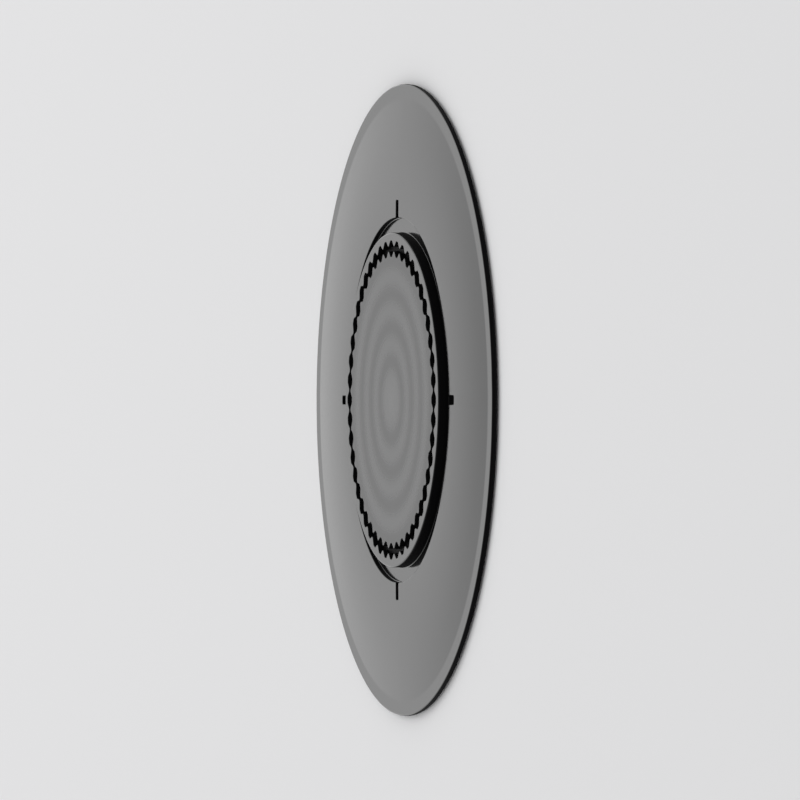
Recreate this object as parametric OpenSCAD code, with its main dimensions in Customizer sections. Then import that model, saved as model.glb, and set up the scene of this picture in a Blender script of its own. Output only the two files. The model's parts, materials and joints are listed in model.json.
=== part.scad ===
// Adhesive magnetic patch: a thin black moulded disc with a raised centre and a sticky back.
// The domed flange is a smooth ring that a soft lip can seal on. The boss centres a mating collar,
// and a slot between two facing rows of teeth takes a matching ring, so that the collar cannot turn.
// A magnet sits under the boss face, with a steel keeper and the adhesive pad behind it.
// Z = 0 is the adhesive face, and +Z is the outward axis of the boss.

/* [Flange] */
// Outside diameter of the moulded disc
flange_d = 60; // [50:1:80]
// Thickness of the moulding at its rim
rim_h = 0.45; // [0.35:0.05:0.8]
// Width of the flat land round the rim
rim_land_w = 1.4; // [0.8:0.1:3]
// Edge radius of the rim
rim_edge_r = 0.1; // [0.05:0.01:0.15]
// Height that the dome gains from the rim land to the groove
dome_rise = 0.47; // [0.3:0.01:0.8]

/* [Boss] */
// Diameter of the boss, which the mating collar slides over
boss_d = 31.8; // [26:0.2:40]
// Edge radius of the boss
boss_edge_r = 0.12; // [0.05:0.01:0.2]
// Thickness of the skin over the magnet
skin_t = 0.4; // [0.3:0.05:0.8]

/* [Collar groove] */
// Width of the groove round the boss, which the mating collar enters
groove_w = 1.45; // [1:0.05:3]
// Depth of the groove below the inner edge of the dome
groove_depth = 0.47; // [0.3:0.01:0.6]

/* [Alignment marks] */
// Number of marks that run out of the groove
mark_count = 4; // [2:1:12]
// Width of a mark
mark_w = 0.85; // [0.5:0.05:2]
// Length of a mark, outwards from the groove
mark_len = 1.65; // [1:0.05:4]

/* [Toothed slot] */
// Number of teeth on each side of the slot
tooth_count = 48; // [24:4:60]
// Height of a tooth, from root to tip
tooth_h = 0.52; // [0.3:0.02:0.64]
// Width of the slot between two facing roots
slot_w = 1.46; // [1.3:0.02:1.8]
// Share of the pitch that a flat root takes
root_share = 0.3; // [0.2:0.02:0.4]
// Share of the pitch that a flat tip takes
tip_share = 0.12; // [0.06:0.02:0.2]
// Depth of the slot below the boss face
slot_depth = 0.6; // [0.4:0.05:0.8]
// Plain land between the outer roots and the edge of the boss
slot_land_w = 0.8; // [0.5:0.05:2]

/* [Magnet and keeper] */
// Thickness of the magnet
magnet_t = 0.8; // [0.6:0.05:2]
// Wall between the magnet pocket and the toothed slot
magnet_wall = 1.1; // [0.8:0.05:3]
// Edge chamfer of the magnet
magnet_edge = 0.1; // [0.05:0.01:0.15]
// Thickness of the steel keeper plate
keeper_t = 0.3; // [0.2:0.05:0.6]
// Radial clearance round the magnet and the keeper
pocket_gap = 0.1; // [0.05:0.01:0.2]

/* [Adhesive pad] */
// Thickness of the foam adhesive pad
pad_t = 0.25; // [0.15:0.05:1]
// How far the pad stands back from the rim
pad_inset = 0.6; // [0.3:0.1:2]

/* [Hidden] */
$fn = 180;
arc_steps = 8;
edge_steps = 4;
cut_over = 0.5;

flange_r = flange_d / 2;
boss_r = boss_d / 2;
groove_r = boss_r + groove_w;
dome_out_r = flange_r - rim_land_w;

rim_z = pad_t + rim_h;
dome_z = rim_z + dome_rise;
groove_z = dome_z - groove_depth;
boss_z = pad_t + keeper_t + magnet_t + skin_t;

// In section the dome is an arc that leaves the groove's edge level and steepens towards the land.
dome_run = dome_out_r - groove_r;
dome_curve_r = (dome_run ^ 2 + dome_rise ^ 2) / (2 * dome_rise);

slot_out_r = boss_r - slot_land_w;
slot_in_r = slot_out_r - slot_w;
pocket_r = slot_in_r - magnet_wall;
magnet_r = pocket_r - pocket_gap;
pad_r = flange_r - pad_inset;

body_colour = "#26272a";
magnet_colour = "#b9bcc0";
keeper_colour = "#9da1a6";
pad_colour = "#3a3b3d";

// Points of a rounded edge, from one angle to another about its centre.
function edge(x, z, r, from, to) = [
    for (i = [0:edge_steps])
        let (a = from + (to - from) * i / edge_steps)
        [x + r * cos(a), z + r * sin(a)]
];

// Points of the dome, from its outer edge in to the groove.
function dome() = [
    for (i = [0:arc_steps])
        let (x = dome_run * (1 - i / arc_steps))
        [groove_r + x, dome_z - dome_curve_r + sqrt(dome_curve_r ^ 2 - x ^ 2)]
];

// Half section of the moulding, right of the axis.
module body_section() {
    polygon(concat(
        [[0, pad_t], [flange_r, pad_t]],
        edge(flange_r - rim_edge_r, rim_z - rim_edge_r, rim_edge_r, 0, 90),
        dome(),
        [[groove_r, groove_z], [boss_r, groove_z]],
        edge(boss_r - boss_edge_r, boss_z - boss_edge_r, boss_edge_r, 0, 90),
        [[0, boss_z]]
    ));
}

// An outline that steps between flat roots and flat tips, with the middle of a root at angle 0.
module toothed_disc(root_r, tip_r) {
    corners = [
        [-root_share / 2, root_r],
        [root_share / 2, root_r],
        [0.5 - tip_share / 2, tip_r],
        [0.5 + tip_share / 2, tip_r]
    ];
    polygon([
        for (i = [0:tooth_count - 1], corner = corners)
            let (a = (i + corner.x) * 360 / tooth_count)
            [corner.y * cos(a), corner.y * sin(a)]
    ]);
}

// The toothed slot: the outer teeth point inwards, and the inner teeth stand tip to tip with them.
module toothed_slot() {
    translate([0, 0, boss_z - slot_depth])
        linear_extrude(slot_depth + cut_over)
            difference() {
                toothed_disc(slot_out_r, slot_out_r - tooth_h);
                toothed_disc(slot_in_r, slot_in_r + tooth_h);
            }
}

// Short radial marks, as deep as the groove that they open into.
module alignment_marks() {
    start_r = groove_r - groove_w / 2;
    for (i = [0:mark_count - 1])
        rotate([0, 0, i * 360 / mark_count])
            translate([start_r, -mark_w / 2, groove_z])
                cube([groove_r + mark_len - start_r, mark_w, groove_depth + cut_over]);
}

// Pocket for the magnet and the keeper, open at the back of the moulding.
module magnet_pocket() {
    translate([0, 0, pad_t - cut_over])
        cylinder(h = cut_over + keeper_t + magnet_t, r = pocket_r);
}

module patch_body() {
    color(body_colour)
        difference() {
            rotate_extrude() body_section();
            toothed_slot();
            alignment_marks();
            magnet_pocket();
        }
}

// Plated disc magnet with broken edges, seated against the skin.
module magnet() {
    z0 = pad_t + keeper_t;
    z1 = z0 + magnet_t;
    color(magnet_colour)
        rotate_extrude()
            polygon([
                [0, z0],
                [magnet_r - magnet_edge, z0],
                [magnet_r, z0 + magnet_edge],
                [magnet_r, z1 - magnet_edge],
                [magnet_r - magnet_edge, z1],
                [0, z1]
            ]);
}

// Stamped steel disc behind the magnet, flush with the back of the moulding.
module keeper_plate() {
    color(keeper_colour)
        translate([0, 0, pad_t])
            cylinder(h = keeper_t, r = magnet_r);
}

// Die-cut foam pad that covers the back, closes the pocket and sticks the patch down.
module adhesive_pad() {
    color(pad_colour)
        cylinder(h = pad_t, r = pad_r);
}

patch_body();
magnet();
keeper_plate();
adhesive_pad();
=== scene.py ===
import json
import math

import bpy
import numpy as np
from mathutils import Matrix, Vector


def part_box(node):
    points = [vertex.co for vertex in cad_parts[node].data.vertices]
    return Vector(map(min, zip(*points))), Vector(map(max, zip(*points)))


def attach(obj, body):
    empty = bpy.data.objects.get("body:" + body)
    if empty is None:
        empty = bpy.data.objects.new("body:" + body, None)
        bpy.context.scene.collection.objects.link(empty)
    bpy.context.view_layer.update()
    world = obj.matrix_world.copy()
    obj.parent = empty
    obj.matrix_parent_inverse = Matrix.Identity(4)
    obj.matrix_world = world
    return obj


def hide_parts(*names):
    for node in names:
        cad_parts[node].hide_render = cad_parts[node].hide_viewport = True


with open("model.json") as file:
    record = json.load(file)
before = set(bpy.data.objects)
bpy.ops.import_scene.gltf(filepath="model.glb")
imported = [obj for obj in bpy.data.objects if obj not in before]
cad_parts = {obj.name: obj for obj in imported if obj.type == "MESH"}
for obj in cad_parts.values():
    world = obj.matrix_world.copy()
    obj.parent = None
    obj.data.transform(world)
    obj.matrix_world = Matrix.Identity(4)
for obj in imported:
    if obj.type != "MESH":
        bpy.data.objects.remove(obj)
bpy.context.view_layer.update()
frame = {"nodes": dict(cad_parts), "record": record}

mm = 0.001
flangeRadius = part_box("patch_body")[1].x / mm
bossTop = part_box("patch_body")[1].z / mm
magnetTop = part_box("magnet")[1].z / mm
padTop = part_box("adhesive_pad")[1].z / mm
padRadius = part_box("adhesive_pad")[1].x / mm
bossMount = next(mount for mount in frame["record"]["mounts"] if mount["name"] == "holder_boss")
bossRadius = bossMount["dims"]["r_mm"]
print("frame loaded, disc", round(2 * flangeRadius, 2), "mm across")


# Surfaces, in mm until they become a mesh

def ring(radius, height, angles):
    # A curve round the axis: (r cos a, r sin a, z), where r and z are numbers or follow the angle a
    return np.stack([radius * np.cos(angles), radius * np.sin(angles), height * np.ones_like(angles)])


def roundedRows(corners, steps, support=0):
    # Rows of a surface that passes through corners, each a curve and a cut. A cut above 0 turns the corner P
    # into the quadratic curve (1-u)^2 S + 2u(1-u) P + u^2 E, with S and E one cut before and after P.
    # With a support, one more row stands that far outside each end of the curve, and keeps the smooth
    # shading off the flat faces.
    rows = []
    for i, (corner, cut) in enumerate(corners):
        if cut == 0:
            rows.append(corner)
            continue
        back = corners[i - 1][0] - corner
        ahead = corners[i + 1][0] - corner
        back = back / np.linalg.norm(back, axis=0)
        ahead = ahead / np.linalg.norm(ahead, axis=0)
        start = corner + back * cut
        end = corner + ahead * cut
        curve = [(1 - u) ** 2 * start + 2 * u * (1 - u) * corner + u ** 2 * end
                 for u in np.linspace(0, 1, steps + 1)]
        if support > 0:
            curve = [start + back * support] + curve + [end + ahead * support]
        rows += curve
    return np.array(rows)


def roundedPath(points, steps):
    # A flat path with rounded corners, from points (x, y, cut); returns all x and all y
    return roundedRows([(np.array([[x], [y]]), cut) for x, y, cut in points], steps)[:, :, 0].T


def closedMesh(name, rows, bandOfRow=None):
    # Points of a grid, row by column, joined to their neighbours; the columns run round the axis and meet
    # again. The first and the last row lie on the axis, and each closes to a single point there.
    rings = np.moveaxis(rows[1:-1], 1, 2)
    rowCount, columns = rings.shape[:2]
    points = np.vstack([rings.reshape(-1, 3), rows[0, :, 0], rows[-1, :, 0]]) * mm
    index = np.arange(rowCount * columns).reshape(rowCount, columns)
    turned = np.roll(index, -1, axis=1)
    quads = np.stack([index[:-1], index[1:], turned[1:], turned[:-1]], axis=-1).reshape(-1, 4)
    firstFan = np.stack([np.full(columns, rowCount * columns), index[0], turned[0]], axis=-1)
    lastFan = np.stack([np.full(columns, rowCount * columns + 1), turned[-1], index[-1]], axis=-1)
    mesh = bpy.data.meshes.new(name)
    mesh.from_pydata(points.tolist(), [], firstFan.tolist() + quads.tolist() + lastFan.tolist())
    if bandOfRow is not None:
        mesh.polygons.foreach_set("material_index", np.repeat(bandOfRow, columns).astype(np.int32))
    mesh.shade_smooth()
    mesh.update()
    piece = bpy.data.objects.new(name, mesh)
    bpy.context.scene.collection.objects.link(piece)
    return piece


# Moulded disc

discShape = {
    "rimLand": 1.4,          # mm, flat land round the rim
    "rimHeight": 0.45,       # mm, moulding at the rim
    "domeRise": 0.47,        # mm, from the rim land to the groove
    "grooveWidth": 1.45,     # mm, round the boss
    "grooveDepth": 0.47,     # mm, below the inner edge of the dome
    "markCount": 4,          # radial marks that open into the groove
    "markWidth": 0.85,       # mm
    "markLength": 1.65,      # mm, outwards from the groove
    "markCorner": 0.2,       # mm, rounding of a mark's corners, seen from above
    "markMouth": 0.04,       # mm that a mark's profile runs on along the groove's edge, past its corner
    "markFan": 0.12,         # radians that the columns of half a mark spread over on the dome
    "teeth": 48,             # on each side of the slot
    "toothHeight": 0.52,     # mm, root to tip
    "rootShare": 0.3,        # of the pitch, flat root
    "tipShare": 0.12,        # of the pitch, flat tip
    "toothCorner": 0.09,     # mm, rounding of a tooth, seen from above
    "slotWidth": 1.46,       # mm, between two facing roots
    "slotDepth": 0.6,        # mm, below the boss face
    "slotLand": 0.8,         # mm, from the outer roots to the boss edge
    "magnetWall": 1.1,       # mm, between the slot and the magnet pocket
    "edgeCut": 0.06,         # mm, rounding of the moulded edges
    "footCut": 0.08,         # mm, rounding at the foot of a wall
    "bossEdgeCut": 0.14,     # mm
    "rimEdgeCut": 0.11,      # mm
    "landCut": 0.12,         # mm, where the dome runs into the rim land
    "toothSteps": 3,         # steps in a tooth's rounded corner, seen from above
    "markSteps": 5,          # steps in a mark's rounded corner, seen from above
    "edgeSteps": 2,          # steps in a rounded edge or foot
    "support": 0.03,         # mm, from a rounded edge to its supporting row
    "faceRows": 3,           # rows on the boss face over the magnet
    "footRow": 0.15,         # mm, from the boss to the first row of the groove's floor
    "mouthRow": 0.2,         # mm, from the groove's edge to the row where the columns turn into the marks
    "floorRow": 0.13,        # mm, from the edge of groove and marks to the last row of the floor
    "domeRow": 0.11,         # mm, from the same edge to the first row of the dome
    "domeRows": (0.03, 0.09, 0.2, 0.4, 0.6, 0.8),  # its other rows, as shares of the way on to the land
    "closest": 3e-4,         # radians, least distance between a tooth's column and a mark's
    "digits": 5,             # of an angle in radians; angles equal to so many fall together
}


def toothProfile(shape, slotMiddle):
    # Half the slot's width against the angle from a root, over half a pitch: flat root, straight flank, flat
    # tip, as a path (along the slot, across the slot) with rounded corners.
    pitch = 2 * math.pi / shape["teeth"] * slotMiddle
    root = shape["slotWidth"] / 2
    tip = root - shape["toothHeight"]
    along, across = roundedPath([
        (0, root, 0),
        (shape["rootShare"] / 2 * pitch, root, shape["toothCorner"]),
        ((0.5 - shape["tipShare"] / 2) * pitch, tip, shape["toothCorner"]),
        (0.5 * pitch, tip, 0),
    ], shape["toothSteps"])
    return along / slotMiddle, across


def markProfile(shape, radius, insets):
    # The groove's outer edge over half a mark, as a rounded path: end, straight side, corner into the groove.
    # Each inset gives such a path that far inside the edge, and the first inset is 0. Returned are the edge's
    # angles from the mark's middle, and then x and y of every path and the angles that it spreads to on the
    # dome, in one array.
    half = shape["markWidth"] / 2
    last = (half + shape["markCorner"] + shape["markMouth"]) / radius
    plans = []
    for inset in insets:
        end = radius + shape["markLength"] - inset
        side = half - inset
        reach = radius - inset
        plans.append(roundedPath([
            (end, 0, 0),
            (end, side, shape["markCorner"] - inset),
            (math.sqrt(reach ** 2 - side ** 2), side, shape["markCorner"] + inset),
            (reach * math.cos(last), reach * math.sin(last), 0),
        ], shape["markSteps"]))
    edge = plans[0]
    length = np.concatenate([[0], np.cumsum(np.hypot(*np.diff(edge, axis=1)))])
    return np.arctan2(edge[1], edge[0]), np.vstack(plans + [length / length[-1] * shape["markFan"]])


def repeatedAngles(profile, count):
    # The angles of a profile and of its mirror image, repeated round the axis
    turns = np.arange(count)[:, None] * (2 * math.pi / count)
    return (turns + np.concatenate([-profile, profile])).ravel()


def discColumns(shape, grooveRadius, slotMiddle, insets):
    # The columns' angles, the groove's outer edge at each inset, the angles on the dome, and half the slot's
    # width. An angle is folded back to the nearest tooth or mark, where one profile serves for all.
    pitch = 2 * math.pi / shape["teeth"]
    quarter = 2 * math.pi / shape["markCount"]
    toothAngle, halfWidth = toothProfile(shape, slotMiddle)
    markAngle, markValues = markProfile(shape, grooveRadius, insets)
    teeth = repeatedAngles(toothAngle, shape["teeth"])
    marks = repeatedAngles(markAngle, shape["markCount"])

    # A tooth's column that all but meets a mark's would leave slivers
    teeth = teeth[np.abs(teeth[:, None] - marks).min(axis=1) > shape["closest"]]
    angles = np.mod(np.concatenate([teeth, marks]), 2 * math.pi)
    angles = np.unique(np.round(angles, shape["digits"]))
    angles = angles[angles < 2 * math.pi - shape["closest"]]

    fromRoot = np.abs(np.mod(angles + pitch / 2, pitch) - pitch / 2)
    fromMark = np.mod(angles + quarter / 2, quarter) - quarter / 2
    middle = angles - fromMark
    side = np.where(fromMark < 0, -1, 1)
    fromMark = np.abs(fromMark)
    plain = fromMark >= markAngle[-1]
    values = np.array([np.interp(fromMark, markAngle, v) for v in markValues])
    turn = np.array([[np.cos(middle), -np.sin(middle)], [np.sin(middle), np.cos(middle)]])
    edges = []
    for inset, plan in zip(insets, values[:-1].reshape(-1, 2, len(angles))):
        arc = (grooveRadius - inset) * np.array([np.cos(fromMark), np.sin(fromMark)])
        x, y = np.where(plain, arc, plan)
        edges.append(np.einsum("ijk,jk->ik", turn, np.stack([x, y * side])))
    rest = np.interp(fromMark, [markAngle[-1], quarter / 2], [shape["markFan"], quarter / 2])
    domeAngles = middle + side * np.where(plain, rest, values[-1])
    return angles, edges, domeAngles, np.interp(fromRoot, toothAngle, halfWidth)


def discBands(rows, edgeSteps, slotLevel):
    # Finish of each band between two rows: 0 polished, 1 ringed face, 2 eroded walls and slot. A band that
    # falls or climbs steeply is a wall. The slot is the first stretch of rows below its level, together with
    # the rounded edge on either side of that stretch.
    steep = 1.5
    step = np.median(np.abs(np.diff(rows, axis=0)), axis=2)
    band = np.where(step[:, 2] > steep * np.hypot(step[:, 0], step[:, 1]), 2, 0)
    sunk = rows[:, 2].max(axis=1) < slotLevel
    first = int(np.argmax(sunk))
    last = first + int(np.argmin(sunk[first:])) - 1
    band[:first - edgeSteps] = 1
    band[first - edgeSteps:last + edgeSteps] = 2
    return band


def buildDisc(shape):
    # Rows from the middle of the boss face out over the slot, the groove, the dome and the rim, and back
    # under the disc into the magnet pocket
    rimTop = padTop + shape["rimHeight"]
    domeTop = rimTop + shape["domeRise"]
    grooveFloor = domeTop - shape["grooveDepth"]
    slotFloor = bossTop - shape["slotDepth"]
    grooveRadius = bossRadius + shape["grooveWidth"]
    domeOuter = flangeRadius - shape["rimLand"]
    slotMiddle = bossRadius - shape["slotLand"] - shape["slotWidth"] / 2
    pocketRadius = slotMiddle - shape["slotWidth"] / 2 - shape["magnetWall"]

    # In section the dome is an arc, level at the groove: top - R + sqrt(R^2 - run^2)
    domeCurve = ((domeOuter - grooveRadius) ** 2 + shape["domeRise"] ** 2) / (2 * shape["domeRise"])
    insets = (0, shape["floorRow"], -shape["domeRow"])
    angles, edges, domeAngles, halfWidth = discColumns(shape, grooveRadius, slotMiddle, insets)
    edge, inner, outer = edges

    def onDome(plan):
        run = np.hypot(*plan) - grooveRadius
        return np.vstack([plan, domeTop - domeCurve + np.sqrt(domeCurve ** 2 - run ** 2)])

    def onFloor(plan):
        return np.vstack([plan, np.full(len(angles), grooveFloor)])

    # From the boss the columns close up to pass a mark's mouth, and then run straight out into the mark
    mouth = inner * ((grooveRadius - shape["mouthRow"]) / np.hypot(*inner))
    soft = shape["edgeCut"]
    foot = shape["footCut"]
    corners = [(ring(r, bossTop, angles), 0) for r in np.linspace(0, pocketRadius, shape["faceRows"])]
    corners += [
        (ring(slotMiddle - halfWidth, bossTop, angles), soft),
        (ring(slotMiddle - halfWidth, slotFloor, angles), foot),
        (ring(slotMiddle + halfWidth, slotFloor, angles), foot),
        (ring(slotMiddle + halfWidth, bossTop, angles), soft),
        (ring(bossRadius, bossTop, angles), shape["bossEdgeCut"]),
        (ring(bossRadius, grooveFloor, angles), foot),
        (ring(bossRadius + shape["footRow"], grooveFloor, angles), 0),
        (onFloor(mouth), 0),
        (onFloor(inner), 0),
        (onFloor(edge), foot),
        (onDome(edge), soft),
        (onDome(outer), 0),
    ]

    # The columns that crowd at a mark fan out over the dome, quickly at first
    radii = np.hypot(*outer)
    startAngles = np.unwrap(np.arctan2(*outer[::-1]))
    fan = np.unwrap(domeAngles) - startAngles
    for share in shape["domeRows"]:
        across = ring(radii + (domeOuter - radii) * share, 0, startAngles + fan * share ** 0.5)
        corners.append((onDome(across[:2]), 0))
    corners += [
        (ring(domeOuter, rimTop, domeAngles), shape["landCut"]),
        (ring(flangeRadius, rimTop, domeAngles), shape["rimEdgeCut"]),
        (ring(flangeRadius, padTop, domeAngles), soft),
        (ring(pocketRadius, padTop, domeAngles), soft),
        (ring(pocketRadius, magnetTop, domeAngles), foot),
        (ring(0, magnetTop, domeAngles), 0),
    ]
    rows = roundedRows(corners, shape["edgeSteps"], shape["support"])

    # Of the rows of a rounded slot edge, only the lowest lies below this level
    slotLevel = bossTop - 0.9 * soft
    return closedMesh("patch_shell", rows, discBands(rows, shape["edgeSteps"], slotLevel))


disc = buildDisc(discShape)
print("disc modelled,", len(disc.data.polygons), "faces")


# Adhesive pad

padShape = {
    "edgeBulge": 0.03,       # mm, how far the cut foam swells between its faces
    "edgeRow": 0.05,         # mm, from the edge to the last row on each face
    "edgeRows": 9,           # rows over the edge
    "columns": 240,          # round the axis
}


def buildPad(shape):
    # A disc whose edge bows out by bulge * 4u(1-u), with u from the lower to the upper face
    angles = np.arange(shape["columns"]) * (2 * np.pi / shape["columns"])
    inner = padRadius - shape["edgeBulge"]
    face = (0, inner / 2, inner - shape["edgeRow"])
    rows = [ring(r, padTop, angles) for r in face]
    for u in np.linspace(1, 0, shape["edgeRows"]):
        rows.append(ring(inner + shape["edgeBulge"] * 4 * u * (1 - u), padTop * u, angles))
    rows += [ring(r, 0, angles) for r in reversed(face)]
    return closedMesh("foam_pad", np.array(rows))


pad = buildPad(padShape)
print("adhesive pad modelled")


# Materials

def linear(hexColour):
    # An sRGB hex colour as linear red, green, blue and an alpha of 1
    parts = [int(hexColour[i:i + 2], 16) / 255 for i in (1, 3, 5)]
    return [c / 12.92 if c <= 0.04045 else ((c + 0.055) / 1.055) ** 2.4 for c in parts] + [1]


def addNode(tree, kind, inputs, **settings):
    # Inputs are keyed by name, or by number where names repeat, and hold a value or the output to link there
    node = tree.nodes.new(kind)
    for key, value in settings.items():
        setattr(node, key, value)
    for key, value in inputs.items():
        if isinstance(value, bpy.types.NodeSocket):
            tree.links.new(value, node.inputs[key])
        else:
            node.inputs[key].default_value = value
    return node


def newMaterial(name, **values):
    # Values are for the shader's own sockets, with _ for a space. Returned with the material are its node
    # tree, its shader and the Object coordinates for its patterns.
    material = bpy.data.materials.new(name)
    material.use_nodes = True
    tree = material.node_tree
    shader = tree.nodes["Principled BSDF"]
    for key, value in values.items():
        shader.inputs[key.replace("_", " ")].default_value = value
    place = addNode(tree, "ShaderNodeTexCoord", {})
    return material, tree, shader, place.outputs["Object"]


def addRelief(tree, shader, pattern, depth, strength, roughness, between=(0, 1)):
    # One pattern gives the bump, as deep as depth in mm, and the roughness, which runs from its first to its
    # second value while the pattern runs between the two given levels
    bump = addNode(tree, "ShaderNodeBump", {"Height": pattern, "Strength": strength, "Distance": depth * mm})
    rough = addNode(tree, "ShaderNodeMapRange", {
        "Value": pattern,
        "From Min": between[0],
        "From Max": between[1],
        "To Min": roughness[0],
        "To Max": roughness[1],
    })
    tree.links.new(bump.outputs["Normal"], shader.inputs["Normal"])
    tree.links.new(rough.outputs["Result"], shader.inputs["Roughness"])


polycarbonate = {
    "black": "#070708",      # black masterbatch
    "paintedSheenBlack": "#2d2d2e",  # painted reflection: a greyer black that makes the smoother rings and the spot look brighter
    "polish": (0.1, 0.14),   # roughness from a polished tool
    "ripple": 0.6,           # mm, slight waviness of a moulded skin
    "rippleDepth": 0.001,    # mm
    "turned": (0.3, 0.2),    # roughness of the boss face, from the darker rings to the ones painted paler as a brighter reflection
    "ringPitch": 3.2,        # mm
    "firstRing": 2.1,        # mm, radius of the first pale ring
    "ringShare": 0.6,        # how far the rings go towards the greyer black of the painted reflection
    "centreSpot": 2.6,       # mm, radius of the spot where the tool ran out, painted paler as a brighter reflection
    "spotShare": 0.4,        # what the spot adds to the painted reflection in its middle
    "eroded": (0.47, 0.63),  # roughness from a spark-eroded tool
    "grit": 0.08,            # mm, pits of the eroded walls, drawn about twice the real size
    "gritDepth": 0.006,      # mm
}


# Injection-moulded polycarbonate from a polished tool: deep black with a clear reflection at low angles
def polishedSkin(look):
    black = linear(look["black"])
    material, tree, shader, place = newMaterial("moulded polycarbonate", Base_Color=black, IOR=1.5)
    scale = 1 / (look["ripple"] * mm)
    ripple = addNode(tree, "ShaderNodeTexNoise", {"Vector": place, "Scale": scale, "Detail": 2.0})
    addRelief(tree, shader, ripple.outputs["Fac"], depth=look["rippleDepth"], strength=0.1,
              roughness=look["polish"], between=(0.3, 0.7))
    return material


# The same plastic where the tool was turned: smoother and rougher rings round a smoother spot on the boss
# face. The smoother rings and the spot are painted a greyer black, a painted brighter reflection
def ringedSkin(look):
    material, tree, shader, place = newMaterial("moulded polycarbonate with turned rings and painted sheen", IOR=1.49)
    flat = addNode(tree, "ShaderNodeVectorMath", {0: place, 1: (1, 1, 0)}, operation="MULTIPLY")
    radius = addNode(tree, "ShaderNodeVectorMath", {0: flat.outputs["Vector"]}, operation="LENGTH")
    fromAxis = radius.outputs["Value"]

    # The rings are a cosine of the radius, which stays at its crest inside the first ring
    turns = 2 * math.pi / look["ringPitch"]
    outside = addNode(tree, "ShaderNodeMath", {0: fromAxis, 1: look["firstRing"] * mm}, operation="MAXIMUM")
    phase = addNode(tree, "ShaderNodeMath", {
        0: outside.outputs["Value"],
        1: turns / mm,
        2: -turns * look["firstRing"],
    }, operation="MULTIPLY_ADD")
    wave = addNode(tree, "ShaderNodeMath", {0: phase.outputs["Value"]}, operation="COSINE")
    rings = addNode(tree, "ShaderNodeMapRange", {
        "Value": wave.outputs["Value"],
        "From Min": -1.0,
        "To Max": look["ringShare"],
    })
    spot = addNode(tree, "ShaderNodeMapRange", {
        "Value": fromAxis,
        "From Max": look["centreSpot"] * mm,
        "To Min": look["spotShare"],
        "To Max": 0.0,
    })
    ringSheenParts = {0: rings.outputs["Result"], 1: spot.outputs["Result"]}
    ringSheen = addNode(tree, "ShaderNodeMath", ringSheenParts, operation="ADD").outputs["Value"]

    # Inputs 6 and 7 are the two colours that the node mixes
    # The greyer colour paints a brighter reflection on the smoother rings and on the spot
    colour = addNode(tree, "ShaderNodeMix", {
        0: ringSheen,
        6: linear(look["black"]),
        7: linear(look["paintedSheenBlack"]),
    }, data_type="RGBA")
    rough = addNode(tree, "ShaderNodeMapRange", {
        "Value": ringSheen,
        "To Min": look["turned"][0],
        "To Max": look["turned"][1],
    })
    tree.links.new(colour.outputs[2], shader.inputs["Base Color"])
    tree.links.new(rough.outputs["Result"], shader.inputs["Roughness"])
    return material


# The walls and the slot keep the fine pits of a spark-eroded tool, which swallow the light: flat black from
# any angle
def erodedSkin(look):
    material, tree, shader, place = newMaterial("moulded polycarbonate, eroded walls",
                                                Base_Color=linear(look["black"]), IOR=1.5,
                                                Specular_IOR_Level=0.04)
    pits = addNode(tree, "ShaderNodeTexVoronoi", {"Vector": place, "Scale": 1 / (look["grit"] * mm)})
    addRelief(tree, shader, pits.outputs["Distance"], depth=look["gritDepth"], strength=0.3,
              roughness=look["eroded"])
    return material


foam = {
    "colour": "#232325",     # dark grey
    "cell": 0.12,            # mm, closed cells
    "cellDepth": 0.01,       # mm
    "roughness": (0.4, 0.6),
}


# Acrylic foam tape: matte and soft, with a faint gloss from its tack over closed cells
def acrylicFoam(look):
    colour = linear(look["colour"])
    material, tree, shader, place = newMaterial("acrylic foam tape", Base_Color=colour, IOR=1.47)
    cells = addNode(tree, "ShaderNodeTexVoronoi", {"Vector": place, "Scale": 1 / (look["cell"] * mm)})
    addRelief(tree, shader, cells.outputs["Distance"], depth=look["cellDepth"], strength=0.3,
              roughness=look["roughness"])
    return material


nickel = {
    "colour": "#c9c6c1",     # slightly warm silver
    "peel": 0.3,             # mm, orange peel
    "peelDepth": 0.003,      # mm
    "roughness": (0.12, 0.24),
}


# Bright nickel plate over a sintered magnet: a mirror with a faint orange peel
def nickelPlate(look):
    colour = linear(look["colour"])
    material, tree, shader, place = newMaterial("nickel plate", Base_Color=colour, Metallic=1.0)
    scale = 1 / (look["peel"] * mm)
    peel = addNode(tree, "ShaderNodeTexNoise", {"Vector": place, "Scale": scale, "Detail": 2.0})
    addRelief(tree, shader, peel.outputs["Fac"], depth=look["peelDepth"], strength=0.2,
              roughness=look["roughness"])
    return material


steel = {
    "colour": "#b2b4b8",     # cool grey
    "lineSpacing": 0.2,      # mm, coarser than real rolling lines, so that they show
    "lineStretch": 0.03,     # scale of the pattern along the lines, against 1 across them
    "lineDepth": 0.004,      # mm
    "roughness": (0.25, 0.45),
}


# Cold-rolled steel sheet: fine straight rolling lines along X
def rolledSteel(look):
    colour = linear(look["colour"])
    material, tree, shader, place = newMaterial("cold-rolled steel", Base_Color=colour, Metallic=1.0)
    along = addNode(tree, "ShaderNodeMapping", {"Vector": place, "Scale": (look["lineStretch"], 1.0, 1.0)})
    scale = 1 / (look["lineSpacing"] * mm)
    stretched = along.outputs["Vector"]
    lines = addNode(tree, "ShaderNodeTexNoise", {"Vector": stretched, "Scale": scale, "Detail": 3.0})
    addRelief(tree, shader, lines.outputs["Fac"], depth=look["lineDepth"], strength=0.2,
              roughness=look["roughness"])
    return material


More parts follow.
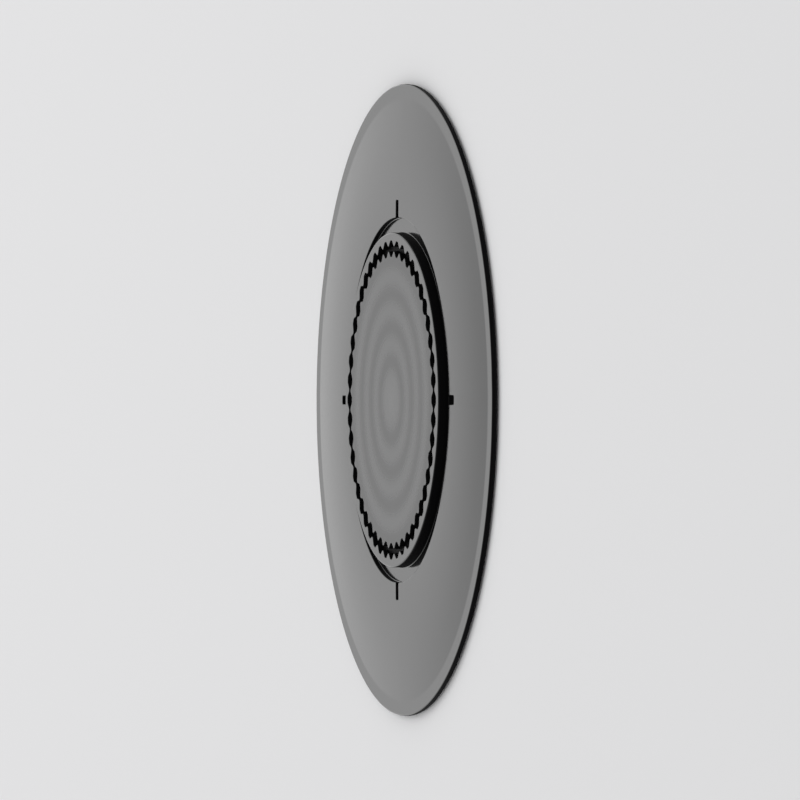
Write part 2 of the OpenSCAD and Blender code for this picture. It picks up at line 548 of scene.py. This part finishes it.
for finish in (polishedSkin, ringedSkin, erodedSkin):
    disc.data.materials.append(finish(polycarbonate))
pad.data.materials.append(acrylicFoam(foam))
frame["nodes"]["magnet"].material_slots[0].material = nickelPlate(nickel)
frame["nodes"]["keeper_plate"].material_slots[0].material = rolledSteel(steel)
for piece, node, slot in ((disc, "patch_body", "moulded_plastic"), (pad, "adhesive_pad", "adhesive_foam")):
    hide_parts(node)
    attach(piece, "root")
print("materials on")


# Studio

studio = {
    "floor": "#e2e2e3",      # pale grey
    "floorReach": 15.0,      # m
    "floorDrop": 0.01,       # mm below the adhesive face
    "elevation": 16.15,      # degrees above the disc
    "distance": 1.05,        # m
    "frameHeight": 0.076,    # m that the picture holds at the disc
    "sensorWidth": 36,       # mm
    "lowLight": 1.1,         # strength of the soft white light from near the horizon
    "highLight": 0.77,       # and from overhead
    "fade": (0.2, 0.75),     # sines of the elevations between which the one turns into the other
    "keyPower": 1.0,         # W
    "keySize": 0.5,          # m
    "keyPlace": (0.3, 0.45, 0.6),  # m
}


def paleFloor(look):
    # A matte square just under the pad, which takes the soft shadow
    reach = look["floorReach"]
    mesh = bpy.data.meshes.new("floor")
    height = -look["floorDrop"] * mm
    corners = [(x * reach, y * reach, height) for x, y in ((-1, -1), (1, -1), (1, 1), (-1, 1))]
    mesh.from_pydata(corners, [], [(0, 1, 2, 3)])
    floor = bpy.data.objects.new("floor", mesh)
    bpy.context.scene.collection.objects.link(floor)
    mesh.materials.append(newMaterial("matte floor", Base_Color=linear(look["floor"]), Roughness=0.9)[0])


def softWorld(look):
    # White light from all round, whose strength follows the height that it comes from
    world = bpy.data.worlds.new("studio")
    bpy.context.scene.world = world
    world.use_nodes = True
    tree = world.node_tree
    tree.nodes.clear()
    way = addNode(tree, "ShaderNodeTexCoord", {})
    height = addNode(tree, "ShaderNodeSeparateXYZ", {"Vector": way.outputs["Generated"]})
    strength = addNode(tree, "ShaderNodeMapRange", {
        "Value": height.outputs["Z"],
        "From Min": look["fade"][0],
        "From Max": look["fade"][1],
        "To Min": look["lowLight"],
        "To Max": look["highLight"],
    }, interpolation_type="SMOOTHSTEP")
    light = addNode(tree, "ShaderNodeBackground", {
        "Color": (1, 1, 1, 1),
        "Strength": strength.outputs["Result"],
    })
    addNode(tree, "ShaderNodeOutputWorld", {"Surface": light.outputs["Background"]})


def aim(thing, position, target, up):
    # Turns a lamp or camera so that its -Z points at the target and its Y lies towards up
    back = (Vector(position) - Vector(target)).normalized()
    right = Vector(up).cross(back).normalized()
    turn = Matrix([right, back.cross(right), back]).transposed()
    thing.matrix_world = Matrix.Translation(position) @ turn.to_4x4()


def softLamp(look):
    # A weak round lamp, above and behind the disc as the camera sees it
    lamp = bpy.data.lights.new("key", "AREA")
    lamp.shape = "DISK"
    lamp.size = look["keySize"]
    lamp.energy = look["keyPower"]
    key = bpy.data.objects.new("key", lamp)
    bpy.context.scene.collection.objects.link(key)
    aim(key, look["keyPlace"], (0, 0, 0), (0, 0, 1))


def lowCamera(look):
    # Seen from the -Y side and rolled a quarter turn, so that the disc stands upright in the picture
    data = bpy.data.cameras.new("camera")
    data.sensor_width = look["sensorWidth"]
    data.lens = look["sensorWidth"] * look["distance"] / look["frameHeight"]
    data.clip_start = 0.01
    data.clip_end = 100
    camera = bpy.data.objects.new("camera", data)
    bpy.context.scene.collection.objects.link(camera)
    rise = math.radians(look["elevation"])
    centre = Vector((0, 0, bossTop * mm / 2))
    away = Vector((0, -math.cos(rise), math.sin(rise)))
    aim(camera, centre + away * look["distance"], centre, (1, 0, 0))
    bpy.context.scene.camera = camera


paleFloor(studio)
softWorld(studio)
softLamp(studio)
lowCamera(studio)
bpy.context.scene.view_settings.view_transform = "Standard"
print("studio set")
